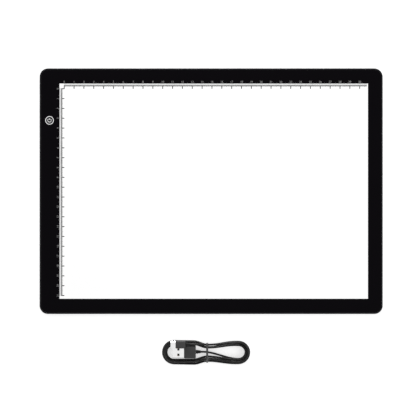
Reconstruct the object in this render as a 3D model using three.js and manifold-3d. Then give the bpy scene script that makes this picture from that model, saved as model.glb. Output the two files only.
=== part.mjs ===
// LED tracing pad with its USB lead in a tied hank. Every length is in millimetres.
// +X points to the right of the pad, +Y to its top edge and +Z out of the lit window.
// The origin lies on the table under the middle of the pad.

import * as THREE from 'three';
import { mergeVertices } from 'three/addons/utils/BufferGeometryUtils.js';
import Module from 'manifold-3d';

const wasm = await Module();
wasm.setup();

// Pad outline, and the black border between its edge and the lit window
const padWidth = 348.5;
const padDepth = 249.5;
const padCornerRadius = 8.5;
const edgeRounding = 0.8;
const borderLeft = 20.25;
const borderRight = 15.05;
const borderTop = 15.45;
const borderBottom = 15.55;

// Clearances, and how far a cutting solid runs past what it cuts
const sheetGap = 0.05;
const fitGap = 0.15;
const seatGap = 0.3;
const cutOverrun = 1;

// Back cover and feet
const floorThickness = 0.9;
const rimWidth = 1.4;
const ledgeWidth = 1.6;
const ribThickness = 1;
const wirePassage = 9;
const footDiameter = 10;
const footHeight = 1;
const footRecess = 0.3;
const footInset = 16;
const footBevel = 0.25;

// Sheets, from the cover's floor up to the border film
const reflectorThickness = 0.2;
const guideThickness = 2;
const guideMargin = 2;
const diffuserThickness = 0.2;
const airGap = 0.3;
const tapeThickness = 0.2;
const panelThickness = 1;
const borderFilmThickness = 0.2;

// LED strip along the light guide's top edge
const ledCount = 20;
const ledWidth = 3;
const ledHeight = 1.4;
const ledDepth = 0.8;
const stripThickness = 0.6;
const stripEndInset = 4;
const stripTapeThickness = 0.2;

// Main board, measured from the pad's top edge
const boardTopInset = 20;
const boardLength = 46;
const boardThickness = 0.8;
const boardSideGap = 0.4;

// Power socket in the left edge
const socketTopInset = 30;
const socketWidth = 7.5;
const socketHeight = 2.4;
const socketDepth = 5;
const socketWall = 0.3;
const socketSetBack = 0.3;
const socketTongueWidth = 4.2;
const socketTongueThickness = 0.6;
const socketTongueLength = 3.4;

// Power button, in the middle of the left border
const buttonTopInset = 52.85;
const buttonTravel = 0.4;
const ringLipDiameter = 8.5;
const ringLipHeight = 0.2;
const ringBarrelDiameter = 8;
const ringBoreDiameter = 7.4;
const capDiameter = 7.1;
const capTopThickness = 0.6;
const capWall = 0.3;
const capRecess = 0.1;
const flangeDiameter = 8;
const flangeThickness = 0.4;
const flangePlay = 0.1;
const flangeToSwitch = 0.6;
const symbolRadius = 1.75;
const symbolStroke = 0.45;
const symbolMouthAngle = 80;
const symbolBarFoot = 0.3;
const symbolBarHead = 2.3;
const symbolClearance = 0.1;
const switchSide = 4.5;
const switchHeight = 0.8;
const plungerDiameter = 1.6;

// Parts on the board, placed by shares of its width and length
const boardPartShares = {
  driver_chip: { across: 0.3, along: 0.6 },
  controller_chip: { across: 0.7, along: 0.56 },
  inductor: { across: 0.7, along: 0.74 },
  input_capacitor: { across: 0.42, along: 0.78 },
  output_capacitor: { across: 0.3, along: 0.94 },
};
const driverChipSize = { width: 1.7, length: 3, height: 1.1 };
const controllerChipSize = { width: 4, length: 5, height: 1.4 };
const inductorDiameter = 4;
const inductorHeight = 1.4;
const capacitorSize = { width: 1.3, length: 2, height: 1.2 };
const buttonLedSize = { width: 0.8, length: 1.6, height: 0.6 };

// Wires from the board to the LED strip
const wireDiameter = 0.8;
const wireSpacing = 1.6;
const wireLanding = 2.5;
const wireBendRadius = 3;

// USB lead, wound in a hank of three layers round two folds
const leadDiameter = 1.95;
const foldRadiusLeft = 7.1;
const foldRadiusRight = 6.6;
const loopStep = 2.5;
const runHalfLength = 32.7;
const waistPinch = 3.2;
const waistLift = 0.8;
const waistOverPlug = 2;
const waistReachRight = 30;
const layerCount = 3;
const layerLoops = 2;
const runSteps = 12;
const foldSteps = 7;
const loopSides = 6;
const loopSteps = 2 * (runSteps + foldSteps);
const fullLoops = 5;
const stepsBeforeMicroPlug = 4;
const firstStep = runSteps;
const lastStep = fullLoops * loopSteps + runSteps + foldSteps + stepsBeforeMicroPlug;
const tailSteps = 6;
const hankCentreX = -4.9;
const hankToPad = 27.25;
const tieOffset = 0.9;
const tieWidth = 2;
const tieThickness = 0.6;

// USB-A plug, which lies in the hank's left opening
const usbShellLength = 12;
const usbShellInsert = 3;
const usbShellWidth = 12;
const usbShellHeight = 4.5;
const usbShellWall = 0.3;
const usbWindowLength = 2.2;
const usbWindowWidth = 2.4;
const usbWindowFromTip = 5.2;
const usbWindowSpread = 5.6;
const usbTongueThickness = 1.8;
const usbTongueSetBack = 0.6;
const usbOvermouldLength = 12;
const usbOvermouldWidth = 12.9;
const usbOvermouldHeight = 6.4;
const usbOvermouldRounding = 0.9;
const usbOvermouldCorner = 1.6;
const usbTipInset = 2;
const usbSideShift = 0.43;

// Micro plug, which lies on top of the hank's back run
const microShellLength = 5;
const microShellInsert = 1.5;
const microShellWidth = 6.9;
const microShellHeight = 1.85;
const microShellWall = 0.25;
const microTongueThickness = 0.5;
const microOvermouldLength = 10;
const microOvermouldWidth = 7.8;
const microOvermouldHeight = 4.8;
const microOvermouldRounding = 0.8;
const microOvermouldCorner = 1.5;
const microTipInset = 3.5;
const microSideShift = 8.5;

// Strain reliefs behind both plugs
const reliefLength = 5;
const reliefBaseDiameter = 4.4;
const reliefTipDiameter = 3;
const reliefGrooves = 3;
const reliefGrooveDepth = 0.35;

const cornerSegments = 8;
const bevelSteps = 3;
const roundSegments = 24;
const symbolSegments = 10;
const reliefSegments = 12;
const tieSegments = 24;
const wireSegments = 4;
const wireSteps = 20;

// Heights, stacked up from the table
const shellBottom = footHeight;
const floorTop = shellBottom + floorThickness;
const reflectorBottom = floorTop + sheetGap;
const guideBottom = reflectorBottom + reflectorThickness + sheetGap;
const guideTop = guideBottom + guideThickness;
const guideMiddle = (guideBottom + guideTop) / 2;
const diffuserBottom = guideTop + sheetGap;
const sheetsTop = diffuserBottom + diffuserThickness + airGap;
const boardBottom = floorTop + sheetGap;
const boardTop = boardBottom + boardThickness;
const partsBottom = boardTop + sheetGap;
const socketBottom = floorTop + sheetGap;
const tallestPart = Math.max(
  driverChipSize.height, controllerChipSize.height, inductorHeight, capacitorSize.height,
);
const panelBottom = Math.max(
  sheetsTop,
  partsBottom + tallestPart + seatGap,
  socketBottom + socketHeight + seatGap,
);
const panelTop = panelBottom + panelThickness;
const borderFilmBottom = panelTop + sheetGap;
const shellTop = borderFilmBottom + borderFilmThickness;
const shellHeight = shellTop - shellBottom;
const tapeBottom = panelBottom - sheetGap - tapeThickness;
const ledgeTop = tapeBottom - sheetGap;

// Window, light guide and board in plan
const litWindow = {
  left: -padWidth / 2 + borderLeft,
  right: padWidth / 2 - borderRight,
  bottom: -padDepth / 2 + borderBottom,
  top: padDepth / 2 - borderTop,
};
const guide = {
  left: litWindow.left - guideMargin,
  right: litWindow.right + guideMargin,
  bottom: litWindow.bottom - guideMargin,
  top: litWindow.top + guideMargin,
};
const board = {
  left: -padWidth / 2 + rimWidth + ledgeWidth + boardSideGap,
  right: guide.left - seatGap - ribThickness - boardSideGap,
  bottom: padDepth / 2 - boardTopInset - boardLength,
  top: padDepth / 2 - boardTopInset,
};
const buttonX = -padWidth / 2 + borderLeft / 2;
const buttonY = padDepth / 2 - buttonTopInset;
const socketY = padDepth / 2 - socketTopInset;
const socketLeft = -padWidth / 2 + socketSetBack;
const socketRight = socketLeft + socketDepth;

// Shapes and solids
function roundedRectangle(width, depth, radius) {
  const x = width / 2;
  const y = depth / 2;
  const shape = new THREE.Shape();
  shape.moveTo(x, y - radius);
  shape.absarc(x - radius, y - radius, radius, 0, Math.PI / 2);
  shape.absarc(-x + radius, y - radius, radius, Math.PI / 2, Math.PI);
  shape.absarc(-x + radius, -y + radius, radius, Math.PI, 1.5 * Math.PI);
  shape.absarc(x - radius, -y + radius, radius, 1.5 * Math.PI, 2 * Math.PI);
  return shape;
}

function rectangleHole(area) {
  const hole = new THREE.Path();
  hole.moveTo(area.left, area.bottom);
  hole.lineTo(area.left, area.top);
  hole.lineTo(area.right, area.top);
  hole.lineTo(area.right, area.bottom);
  hole.closePath();
  return hole;
}

// A round hole has its corners where a turned piece has them, so both keep their clearance
function roundHole(x, y, diameter) {
  const corners = [];
  for (let index = 0; index < roundSegments; index += 1) {
    const angle = (-2 * Math.PI * index) / roundSegments;
    corners.push(new THREE.Vector2(
      x + (Math.cos(angle) * diameter) / 2, y + (Math.sin(angle) * diameter) / 2,
    ));
  }
  return new THREE.Path(corners).closePath();
}

function slab(shape, thickness, bottom, segments = cornerSegments) {
  const geometry = new THREE.ExtrudeGeometry(shape, {
    depth: thickness, bevelEnabled: false, curveSegments: segments,
  });
  return geometry.translate(0, 0, bottom);
}

function roundedSlab(shape, thickness, rounding, bottom) {
  const geometry = new THREE.ExtrudeGeometry(shape, {
    depth: thickness - 2 * rounding,
    bevelThickness: rounding,
    bevelSize: rounding,
    bevelOffset: -rounding,
    bevelSegments: bevelSteps,
    curveSegments: cornerSegments,
  });
  return geometry.translate(0, 0, bottom + rounding);
}

function block(left, right, front, back, bottom, top) {
  const geometry = new THREE.BoxGeometry(right - left, back - front, top - bottom);
  return geometry.translate((left + right) / 2, (front + back) / 2, (bottom + top) / 2);
}

function turned(profile, segments = roundSegments) {
  const points = profile.map(([radius, height]) => new THREE.Vector2(radius, height));
  return new THREE.LatheGeometry(points, segments).rotateX(Math.PI / 2);
}

function rod(diameter, bottom, top, segments = roundSegments) {
  return turned([[0, bottom], [diameter / 2, bottom], [diameter / 2, top], [0, top]], segments);
}

function toSolid(geometry) {
  const bare = geometry.clone();
  bare.deleteAttribute('normal');
  bare.deleteAttribute('uv');
  const merged = mergeVertices(bare);
  return new wasm.Manifold(new wasm.Mesh({
    numProp: 3,
    vertProperties: new Float32Array(merged.attributes.position.array),
    triVerts: new Uint32Array(merged.index.array),
  }));
}

function toGeometry(solid) {
  const mesh = solid.getMesh();
  const geometry = new THREE.BufferGeometry();
  geometry.setAttribute('position', new THREE.BufferAttribute(new Float32Array(mesh.vertProperties), 3));
  geometry.setIndex(new THREE.BufferAttribute(new Uint32Array(mesh.triVerts), 1));
  geometry.computeVertexNormals();
  return geometry;
}

function cut(geometry, ...tools) {
  return toGeometry(tools.reduce((solid, tool) => solid.subtract(toSolid(tool)), toSolid(geometry)));
}

function join(geometry, ...others) {
  return toGeometry(others.reduce((solid, other) => solid.add(toSolid(other)), toSolid(geometry)));
}

// Materials
function material(color, roughness, metalness = 0) {
  return new THREE.MeshStandardMaterial({ color, roughness, metalness });
}

const blackPlastic = material(0x0e0d10, 0.5);
const blackFilm = material(0x0d0c0f, 0.35);
const whitePanel = material(0xfdfdfd, 0.4);
const clearGuide = material(0xdfe8ee, 0.1);
const whiteSheet = material(0xf2f2f2, 0.6);
const whiteTape = material(0xe4e2da, 0.8);
const greenBoard = material(0x1d5a38, 0.5);
const ledWhite = material(0xf4efc8, 0.3);
const steel = material(0xc9cbce, 0.25, 1);
const whitePlastic = material(0xe9e9ea, 0.4);
const chipBlack = material(0x1b1b1d, 0.5);
const ceramicTan = material(0xb08a62, 0.5);
const redInsulation = material(0xa3211c, 0.5);
const blackInsulation = material(0x1a1a1b, 0.5);
const blackRubber = material(0x151517, 0.9);
const leadJacket = material(0x141416, 0.55);

const tracingPad = new THREE.Group();

function addPiece(parent, name, geometry, finish) {
  const mesh = new THREE.Mesh(geometry, finish);
  mesh.name = name;
  parent.add(mesh);
  return mesh;
}

// Back cover: a tray with a ledge for the panel, ribs round the light guide and a cut for the socket
function backCover() {
  const outer = roundedSlab(
    roundedRectangle(padWidth, padDepth, padCornerRadius), shellHeight, edgeRounding, shellBottom,
  );
  const pocket = slab(
    roundedRectangle(padWidth - 2 * rimWidth, padDepth - 2 * rimWidth, padCornerRadius - rimWidth),
    shellTop - ledgeTop + cutOverrun, ledgeTop,
  );
  const wall = rimWidth + ledgeWidth;
  const chamber = slab(
    roundedRectangle(padWidth - 2 * wall, padDepth - 2 * wall, padCornerRadius - wall),
    shellTop - floorTop + cutOverrun, floorTop,
  );
  const socketCut = block(
    -padWidth / 2 - cutOverrun, -padWidth / 2 + wall + cutOverrun,
    socketY - socketWidth / 2 - fitGap, socketY + socketWidth / 2 + fitGap,
    socketBottom - fitGap, Math.max(socketBottom + socketHeight + fitGap, ledgeTop + fitGap),
  );
  const footCuts = footPlaces().map(([x, y]) => rod(
    footDiameter + 2 * fitGap, shellBottom - cutOverrun, shellBottom + footRecess,
  ).translate(x, y, 0));
  return join(cut(outer, pocket, chamber, socketCut, ...footCuts), ...coverRibs());
}

function footPlaces() {
  const x = padWidth / 2 - footInset;
  const y = padDepth / 2 - footInset;
  return [[-x, -y], [x, -y], [x, y], [-x, y]];
}

// The ribs reach into the floor so that they are one with it
function coverRibs() {
  const root = floorTop - floorThickness / 2;
  const stripBack = guide.top + seatGap + ledDepth + stripThickness + stripTapeThickness + 3 * sheetGap;
  const left = guide.left - seatGap;
  const right = guide.right + seatGap;
  const bottom = guide.bottom - seatGap;
  return [
    block(left - ribThickness, left, guide.bottom, guide.top - wirePassage, root, ledgeTop),
    block(right, right + ribThickness, guide.bottom, guide.top, root, ledgeTop),
    block(guide.left, guide.right, bottom - ribThickness, bottom, root, ledgeTop),
    block(
      guide.left + stripEndInset, guide.right - stripEndInset, stripBack, stripBack + ribThickness,
      root, ledgeTop,
    ),
  ];
}

addPiece(tracingPad, 'back_cover', backCover(), blackPlastic);

// Feet: rubber discs set in shallow recesses
const footNames = ['foot_front_left', 'foot_front_right', 'foot_back_right', 'foot_back_left'];
const footTop = shellBottom + footRecess - sheetGap;
const footProfile = [
  [0, 0],
  [footDiameter / 2 - footBevel, 0],
  [footDiameter / 2, footBevel],
  [footDiameter / 2, footTop],
  [0, footTop],
];
footPlaces().forEach(([x, y], index) => {
  const foot = addPiece(tracingPad, footNames[index], turned(footProfile), blackRubber);
  foot.position.set(x, y, 0);
});

// Light guide with its reflector below and diffuser above
function sheet(thickness, bottom) {
  return block(guide.left, guide.right, guide.bottom, guide.top, bottom, bottom + thickness);
}

addPiece(tracingPad, 'reflector_sheet', sheet(reflectorThickness, reflectorBottom), whiteSheet);
addPiece(tracingPad, 'light_guide_plate', sheet(guideThickness, guideBottom), clearGuide);
addPiece(tracingPad, 'diffuser_sheet', sheet(diffuserThickness, diffuserBottom), whiteSheet);

// Adhesive frame between the ledge and the front panel, open at the socket
function panelTape() {
  const outset = rimWidth + fitGap;
  const inset = rimWidth + ledgeWidth - fitGap;
  const ring = roundedRectangle(padWidth - 2 * outset, padDepth - 2 * outset, padCornerRadius - outset);
  ring.holes.push(roundedRectangle(padWidth - 2 * inset, padDepth - 2 * inset, padCornerRadius - inset));
  const socketCut = block(
    -padWidth / 2, -padWidth / 2 + inset + cutOverrun,
    socketY - socketWidth / 2 - fitGap, socketY + socketWidth / 2 + fitGap,
    tapeBottom - cutOverrun, panelBottom,
  );
  return cut(slab(ring, tapeThickness, tapeBottom), socketCut);
}

addPiece(tracingPad, 'panel_tape', panelTape(), whiteTape);

// Front panel, whose lit field stands flush with the black border film round it
function panelOutline() {
  const outset = rimWidth + fitGap;
  const outline = roundedRectangle(padWidth - 2 * outset, padDepth - 2 * outset, padCornerRadius - outset);
  outline.holes.push(roundHole(buttonX, buttonY, ringBarrelDiameter + 2 * fitGap));
  return outline;
}

const drawingField = block(
  litWindow.left + sheetGap, litWindow.right - sheetGap, litWindow.bottom + sheetGap,
  litWindow.top - sheetGap, panelBottom + panelThickness / 2, shellTop,
);
addPiece(
  tracingPad, 'front_panel', join(slab(panelOutline(), panelThickness, panelBottom), drawingField),
  whitePanel,
);

const borderOutline = panelOutline();
borderOutline.holes.push(rectangleHole(litWindow));
addPiece(tracingPad, 'border_film', slab(borderOutline, borderFilmThickness, borderFilmBottom), blackFilm);

// LED strip: the board stands on edge behind the LEDs, which face the light guide
const strip = {
  left: guide.left + stripEndInset,
  right: guide.right - stripEndInset,
  front: guide.top + seatGap + ledDepth + sheetGap,
};
strip.back = strip.front + stripThickness;
addPiece(
  tracingPad, 'led_strip_board',
  block(strip.left, strip.right, strip.front, strip.back, reflectorBottom, guideTop), greenBoard,
);
addPiece(
  tracingPad, 'led_strip_tape',
  block(
    strip.left, strip.right, strip.back + sheetGap, strip.back + sheetGap + stripTapeThickness,
    guideBottom, guideTop,
  ),
  whiteTape,
);
const ledPitch = (strip.right - strip.left) / ledCount;
for (let index = 0; index < ledCount; index += 1) {
  const name = `led_${String(index + 1).padStart(2, '0')}`;
  const led = addPiece(tracingPad, name, new THREE.BoxGeometry(ledWidth, ledDepth, ledHeight), ledWhite);
  led.position.set(strip.left + (index + 0.5) * ledPitch, guide.top + seatGap + ledDepth / 2, guideMiddle);
}

// Main board, notched round the socket
const boardBlank = block(board.left, board.right, board.bottom, board.top, boardBottom, boardTop);
const socketNotch = block(
  board.left - cutOverrun, socketRight + fitGap,
  socketY - socketWidth / 2 - fitGap, socketY + socketWidth / 2 + fitGap,
  boardBottom - cutOverrun, boardTop + cutOverrun,
);
addPiece(tracingPad, 'main_board', cut(boardBlank, socketNotch), greenBoard);

// Power socket: a metal shell, open at the pad's edge, round a plastic tongue
const socketShell = cut(
  block(
    socketLeft, socketRight, socketY - socketWidth / 2, socketY + socketWidth / 2,
    socketBottom, socketBottom + socketHeight,
  ),
  block(
    socketLeft - cutOverrun, socketRight - socketWall,
    socketY - socketWidth / 2 + socketWall, socketY + socketWidth / 2 - socketWall,
    socketBottom + socketWall, socketBottom + socketHeight - socketWall,
  ),
);
addPiece(tracingPad, 'socket_shell', socketShell, steel);
const socketTongue = addPiece(
  tracingPad, 'socket_tongue',
  new THREE.BoxGeometry(socketTongueLength, socketTongueWidth, socketTongueThickness), chipBlack,
);
socketTongue.position.set(
  socketRight - socketWall - sheetGap - socketTongueLength / 2, socketY, socketBottom + socketHeight / 2,
);

// Parts on the board
function addBoardPart(name, geometry, height, finish, place = boardPartShares[name]) {
  const part = addPiece(tracingPad, name, geometry, finish);
  part.position.set(
    THREE.MathUtils.lerp(board.left, board.right, place.across),
    THREE.MathUtils.lerp(board.bottom, board.top, place.along),
    partsBottom + height / 2,
  );
}

function boardBox(size) {
  return new THREE.BoxGeometry(size.width, size.length, size.height);
}

addBoardPart('driver_chip', boardBox(driverChipSize), driverChipSize.height, chipBlack);
addBoardPart('controller_chip', boardBox(controllerChipSize), controllerChipSize.height, chipBlack);
addBoardPart(
  'inductor', rod(inductorDiameter, -inductorHeight / 2, inductorHeight / 2), inductorHeight, chipBlack,
);
addBoardPart('input_capacitor', boardBox(capacitorSize), capacitorSize.height, ceramicTan);
addBoardPart('output_capacitor', boardBox(capacitorSize), capacitorSize.height, ceramicTan);

// Wires from the board's top end, round the light guide's corner, to the strip's left end
function wireGeometry(startX, endHeight) {
  const startHeight = boardTop + sheetGap + wireDiameter / 2;
  const stripY = (strip.front + strip.back) / 2;
  const route = new THREE.CatmullRomCurve3([
    new THREE.Vector3(startX, board.top - wireLanding, startHeight),
    new THREE.Vector3(startX, board.top, startHeight),
    new THREE.Vector3(startX, stripY - wireBendRadius, endHeight),
    new THREE.Vector3(startX + wireBendRadius, stripY, endHeight),
    new THREE.Vector3(strip.left - seatGap - wireDiameter, stripY, endHeight),
    new THREE.Vector3(strip.left - seatGap, stripY, endHeight),
  ]);
  const section = new THREE.Shape();
  section.absarc(0, 0, wireDiameter / 2, 0, 2 * Math.PI);
  return new THREE.ExtrudeGeometry(section, {
    steps: wireSteps, extrudePath: route, curveSegments: wireSegments,
  });
}

const wireX = board.right - wireSpacing;
const wireOffset = (wireDiameter + seatGap) / 2;
addPiece(tracingPad, 'wire_positive', wireGeometry(wireX, guideMiddle + wireOffset), redInsulation);
addPiece(
  tracingPad, 'wire_negative', wireGeometry(wireX - wireSpacing, guideMiddle - wireOffset), blackInsulation,
);

// Power button: its own frame stands at the button's centre
const button = new THREE.Group();
button.position.set(buttonX, buttonY, 0);
tracingPad.add(button);

const switchTop = partsBottom + switchHeight;
const flangeBottom = switchTop + flangeToSwitch;
const flangeTop = flangeBottom + flangeThickness;
const barrelBottom = flangeTop + flangePlay;
const lipBottom = shellTop + sheetGap;
const lipTop = lipBottom + ringLipHeight;
const capTop = lipTop - capRecess;
const capCeiling = capTop - capTopThickness;
const capBore = capDiameter - 2 * capWall;

const ringProfile = [
  [ringBoreDiameter / 2, barrelBottom],
  [ringBarrelDiameter / 2, barrelBottom],
  [ringBarrelDiameter / 2, lipBottom],
  [ringLipDiameter / 2, lipBottom],
  [ringLipDiameter / 2, lipTop],
  [ringBoreDiameter / 2, lipTop],
  [ringBoreDiameter / 2, barrelBottom],
];
addPiece(button, 'button_ring', turned(ringProfile), whitePlastic);

// Power symbol: an open ring with a bar in its mouth, grown all round by a clearance
function symbolGeometry(clearance, bottom, top) {
  const inner = symbolRadius - symbolStroke / 2 - clearance;
  const outer = symbolRadius + symbolStroke / 2 + clearance;
  const mouth = THREE.MathUtils.degToRad(symbolMouthAngle / 2) - clearance / symbolRadius;
  const start = Math.PI / 2 + mouth;
  const end = 2.5 * Math.PI - mouth;
  const ring = new THREE.Shape();
  ring.absarc(0, 0, outer, start, end);
  ring.absarc(0, 0, inner, end, start, true);
  const halfBar = symbolStroke / 2 + clearance;
  return [
    slab(ring, top - bottom, bottom, symbolSegments),
    block(-halfBar, halfBar, symbolBarFoot - clearance, symbolBarHead + clearance, bottom, top),
  ];
}

const capProfile = [
  [0, capCeiling],
  [capBore / 2, capCeiling],
  [capBore / 2, flangeBottom],
  [flangeDiameter / 2, flangeBottom],
  [flangeDiameter / 2, flangeTop],
  [capDiameter / 2, flangeTop],
  [capDiameter / 2, capTop],
  [0, capTop],
];
const symbolSlots = symbolGeometry(symbolClearance, capCeiling - cutOverrun, capTop + cutOverrun);
addPiece(button, 'button_cap', cut(turned(capProfile), ...symbolSlots), blackPlastic);

const coreTop = capCeiling - sheetGap;
const coreDisc = rod(capBore - 2 * fitGap, flangeBottom, coreTop);
const symbolRelief = symbolGeometry(0, (flangeBottom + coreTop) / 2, capTop);
addPiece(button, 'button_symbol', join(coreDisc, ...symbolRelief), whitePlastic);

const plungerBottom = boardTop + buttonTravel + sheetGap;
addPiece(
  button, 'switch_plunger', rod(plungerDiameter, plungerBottom, flangeBottom - sheetGap), whitePlastic,
);

const switchBlank = block(
  -switchSide / 2, switchSide / 2, -switchSide / 2, switchSide / 2, partsBottom, switchTop,
);
const plungerBore = rod(plungerDiameter + 2 * fitGap, partsBottom - cutOverrun, switchTop + cutOverrun);
addPiece(button, 'switch_body', cut(switchBlank, plungerBore), steel);

const buttonLed = addPiece(button, 'button_led', boardBox(buttonLedSize), ledWhite);
buttonLed.position.set(
  switchSide / 2 + seatGap + buttonLedSize.width / 2, 0, partsBottom + buttonLedSize.height / 2,
);

// USB lead: its own frame stands on the table at the middle of the hank
const lead = new THREE.Group();
const backRunLoops = layerLoops - 0.5;
const hankBack = foldRadiusLeft + backRunLoops * loopStep + leadDiameter / 2;
lead.position.set(hankCentreX, -padDepth / 2 - hankToPad - hankBack, 0);
tracingPad.add(lead);

// The USB-A plug's ends along the hank: left of the tie the runs stay straight for as long as they pass it
const usbTipX = -runHalfLength - usbTipInset;
const usbShellEnd = usbShellLength + usbShellInsert;
const usbOvermouldEnd = usbShellLength + usbOvermouldLength;
const waistReachLeft = tieOffset - usbTipX - usbOvermouldEnd + waistOverPlug;

// How far the tie draws a run in and up at x: 1 under the tie, 0 beyond its reach
function waistAt(x) {
  const fromTie = x - tieOffset;
  const reach = fromTie < 0 ? waistReachLeft : waistReachRight;
  return Math.cos((Math.PI / 2) * Math.min(Math.abs(fromTie) / reach, 1)) ** 2;
}

// Radius of the innermost loop: the left fold is wider, for the plug that lies in it
function innerRadiusAt(x) {
  const rightness = THREE.MathUtils.clamp(x / runHalfLength, 0, 1);
  return THREE.MathUtils.lerp(foldRadiusLeft, foldRadiusRight, rightness);
}

// A step's place in the hank: the loops spiral out and in by turns and climb a layer at each reversal
function hankPoint(step) {
  const phase = step % loopSteps;
  const turns = (step - runSteps / 2) / loopSteps;
  const outward = layerLoops - Math.abs(layerLoops - (turns % (2 * layerLoops)));
  let layer = 0;
  for (let climb = 1; climb < layerCount; climb += 1) {
    layer += THREE.MathUtils.clamp((step - climb * layerLoops * loopSteps) / runSteps, 0, 1);
  }
  const base = leadDiameter / 2 + loopStep * layer;
  const onFront = phase <= runSteps;
  const onBack = phase >= runSteps + foldSteps && phase <= 2 * runSteps + foldSteps;
  if (onFront || onBack) {
    const share = (onFront ? phase : phase - runSteps - foldSteps) / runSteps;
    const side = onFront ? -1 : 1;
    const x = -side * runHalfLength * (2 * share - 1);
    const waist = waistAt(x);
    const radius = innerRadiusAt(x) + loopStep * outward - waistPinch * waist;
    return new THREE.Vector3(x, side * radius, base + waistLift * waist);
  }
  const onRight = phase < runSteps + foldSteps;
  const foldX = onRight ? runHalfLength : -runHalfLength;
  const radius = innerRadiusAt(foldX) + loopStep * outward;
  const turn = (onRight ? phase - runSteps : phase - 2 * runSteps - foldSteps) / foldSteps;
  const angle = Math.PI * (turn + (onRight ? -0.5 : 0.5));
  return new THREE.Vector3(foldX + radius * Math.cos(angle), radius * Math.sin(angle), base);
}

// A tail leaves its plug straight for one diameter, then eases over to where the hank begins
function tailPoints(plugEnd, direction, hankEnd) {
  const straightEnd = plugEnd.clone();
  straightEnd.x += direction * leadDiameter;
  const points = [plugEnd, straightEnd];
  for (let index = 1; index < tailSteps; index += 1) {
    const share = index / tailSteps;
    const eased = share * share * (3 - 2 * share);
    points.push(new THREE.Vector3(
      THREE.MathUtils.lerp(straightEnd.x, hankEnd.x, share),
      THREE.MathUtils.lerp(straightEnd.y, hankEnd.y, eased),
      THREE.MathUtils.lerp(straightEnd.z, hankEnd.z, eased),
    ));
  }
  return points;
}

// A closed tube of flat facets along points, one edge up, for a lead that lies flat
function leadTube(points) {
  const up = new THREE.Vector3(0, 0, 1);
  const positions = [];
  points.forEach((point, index) => {
    const before = points[Math.max(index - 1, 0)];
    const after = points[Math.min(index + 1, points.length - 1)];
    const along = after.clone().sub(before).normalize();
    const side = along.clone().cross(up).normalize();
    const over = side.clone().cross(along);
    for (let corner = 0; corner < loopSides; corner += 1) {
      const angle = (2 * Math.PI * corner) / loopSides;
      const place = point.clone()
        .addScaledVector(over, (Math.cos(angle) * leadDiameter) / 2)
        .addScaledVector(side, (Math.sin(angle) * leadDiameter) / 2);
      positions.push(place.x, place.y, place.z);
    }
  });
  const faces = [];
  for (let ring = 0; ring < points.length - 1; ring += 1) {
    for (let corner = 0; corner < loopSides; corner += 1) {
      const a = ring * loopSides + corner;
      const b = ring * loopSides + ((corner + 1) % loopSides);
      faces.push(a, b, a + loopSides, b, b + loopSides, a + loopSides);
    }
  }
  const last = (points.length - 1) * loopSides;
  for (let corner = 1; corner < loopSides - 1; corner += 1) {
    faces.push(0, corner + 1, corner);
    faces.push(last, last + corner, last + corner + 1);
  }
  const geometry = new THREE.BufferGeometry();
  geometry.setAttribute('position', new THREE.Float32BufferAttribute(positions, 3));
  geometry.setIndex(faces);
  geometry.computeVertexNormals();
  return geometry;
}

// The least clear distance between stretches of the lead that lie a few diameters apart along it
function leastGap(points) {
  const travelled = [0];
  for (let index = 1; index < points.length; index += 1) {
    travelled.push(travelled[index - 1] + points[index].distanceTo(points[index - 1]));
  }
  const nearest = new THREE.Vector3();
  let least = Infinity;
  points.forEach((point, index) => {
    for (let start = 0; start < points.length - 1; start += 1) {
      const apart = Math.min(
        Math.abs(travelled[start] - travelled[index]), Math.abs(travelled[start + 1] - travelled[index]),
      );
      if (apart > 2 * foldRadiusLeft) {
        new THREE.Line3(points[start], points[start + 1]).closestPointToPoint(point, true, nearest);
        least = Math.min(least, nearest.distanceTo(point) - leadDiameter);
      }
    }
  });
  return { least, length: travelled[travelled.length - 1] };
}

// Plugs: each is built with its tip at the left end and its axis along X
const usbAxisZ = usbOvermouldHeight / 2;
const microTipX = -runHalfLength - microTipInset;
const hankTop = (layerCount - 1) * loopStep + leadDiameter;
const microRightEnd = microTipX + microShellLength + microOvermouldLength;
const microAxisZ = hankTop + waistLift * waistAt(microRightEnd) + seatGap + microOvermouldHeight / 2;

function plugShell(length, width, height, wall, windows) {
  const outer = block(0, length, -width / 2, width / 2, -height / 2, height / 2);
  const bore = block(
    -cutOverrun, length + cutOverrun,
    -width / 2 + wall, width / 2 - wall,
    -height / 2 + wall, height / 2 - wall,
  );
  return cut(outer, bore, ...windows);
}

function overmould(start, size, pocket) {
  const outline = roundedRectangle(size.length, size.width, size.corner);
  const body = roundedSlab(outline, size.height, size.rounding, -size.height / 2);
  body.translate(start + size.length / 2, 0, 0);
  const pocketCut = block(
    start - cutOverrun, start + pocket.depth + sheetGap,
    -pocket.width / 2 - sheetGap, pocket.width / 2 + sheetGap,
    -pocket.height / 2 - sheetGap, pocket.height / 2 + sheetGap,
  );
  return cut(body, pocketCut);
}

// A strain relief is a cone with ring grooves, closed so that the lead meets its tip face to face
function strainRelief() {
  const profile = [[0, 0], [reliefBaseDiameter / 2, 0]];
  const grooveStep = reliefLength / (2 * reliefGrooves + 1);
  for (let edge = 1; edge <= 2 * reliefGrooves; edge += 1) {
    const height = edge * grooveStep;
    const radius = THREE.MathUtils.lerp(reliefBaseDiameter, reliefTipDiameter, height / reliefLength) / 2;
    const floor = radius - reliefGrooveDepth;
    const corners = [[radius, height], [floor, height]];
    profile.push(...(edge % 2 === 1 ? corners : corners.reverse()));
  }
  profile.push([reliefTipDiameter / 2, reliefLength], [0, reliefLength]);
  return turned(profile, reliefSegments).rotateY(Math.PI / 2);
}

const usbPlug = new THREE.Group();
usbPlug.position.set(usbTipX, usbSideShift, usbAxisZ);
lead.add(usbPlug);

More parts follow.
